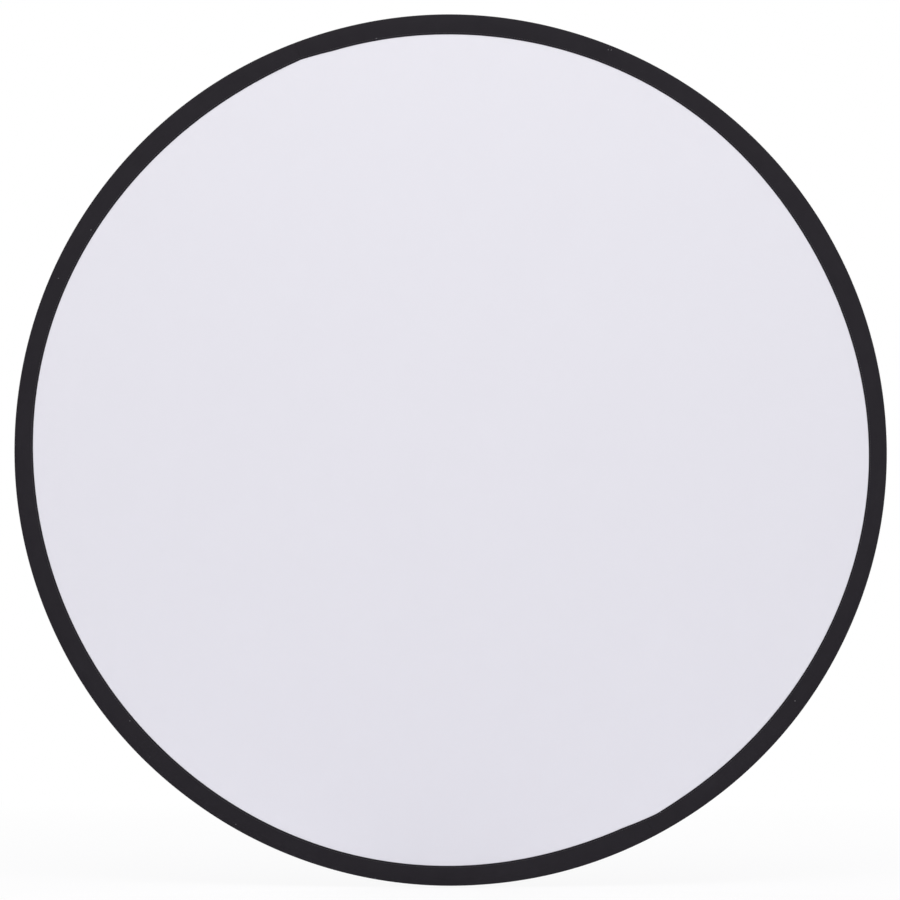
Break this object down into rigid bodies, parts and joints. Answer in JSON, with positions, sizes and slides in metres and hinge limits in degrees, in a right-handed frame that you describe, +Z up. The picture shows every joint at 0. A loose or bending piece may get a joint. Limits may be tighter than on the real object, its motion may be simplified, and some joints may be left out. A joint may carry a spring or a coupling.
{
  "type": "collapsible reflector disc",
  "caption": "Round sprung light reflector with a taut white face, black edge binding and a zipped cloth cover over a translucent core.",
  "frame": {"origin": "centre of the disc, on the mid-plane of the hoop", "axes": "+Z up with the disc standing on edge; +Y along the disc's axis, out of its back, so the white face looks along -Y; +X to the right seen from the front"},
  "size_m": [1.0998, 0.0157, 1.0999],
  "materials": {
    "spring_steel": "blued spring steel, satin",
    "ferrule_steel": "zinc plated, satin",
    "wrap_tape": "cotton cloth tape, matt",
    "diffuser_cloth": "translucent white nylon",
    "sleeve_tape": "woven polyester tape, matt",
    "white_cloth": "white coated nylon, soft satin",
    "silver_cloth": "silver metallised cloth, crinkled satin",
    "black_cloth": "black nylon taffeta, matt",
    "gold_cloth": "gold metallised cloth, crinkled satin",
    "binding_tape": "black woven polyester binding tape, matt",
    "zip_tape": "black woven zip tape, matt",
    "zip_coil": "black nylon coil",
    "zip_metal": "black enamel on zinc, semi-gloss"
  },
  "bodies": {
    "disc": {"hoop_band": "spring_steel", "splice_ferrule": "ferrule_steel", "splice_wrap": "wrap_tape", "diffuser_fabric": "diffuser_cloth", "diffuser_sleeve": "sleeve_tape", "front_white_ply": "white_cloth", "front_silver_ply": "silver_cloth", "back_black_ply": "black_cloth", "back_gold_ply": "gold_cloth", "fixed_edge_binding": "binding_tape", "zip_edge_binding": "binding_tape", "zip_facing": "binding_tape", "zip_tape_outer": "zip_tape", "zip_tape_inner": "zip_tape", "zip_coil_outer": "zip_coil", "zip_coil_inner": "zip_coil", "zip_top_stops": "zip_metal", "zip_bottom_stop": "zip_metal"},
    "slider": {"zip_slider": "zip_metal"},
    "pull": {"zip_pull": "zip_metal"}
  },
  "joints": [
    {"name": "zip_travel", "type": "hinge", "parent": "disc", "child": "slider", "pos_m": [0, 0.0052, 0], "axis": [0, 1, 0], "range_deg": [0, 184.6], "deforming": ["zip_tape_outer", "zip_tape_inner", "zip_coil_outer", "zip_coil_inner"]},
    {"name": "pull_swing", "type": "hinge", "parent": "slider", "child": "pull", "pos_m": [0.24184, 0.00825, -0.4789], "axis": [0.4508, 0, -0.8926], "range_deg": [0, 180]}
  ]
}
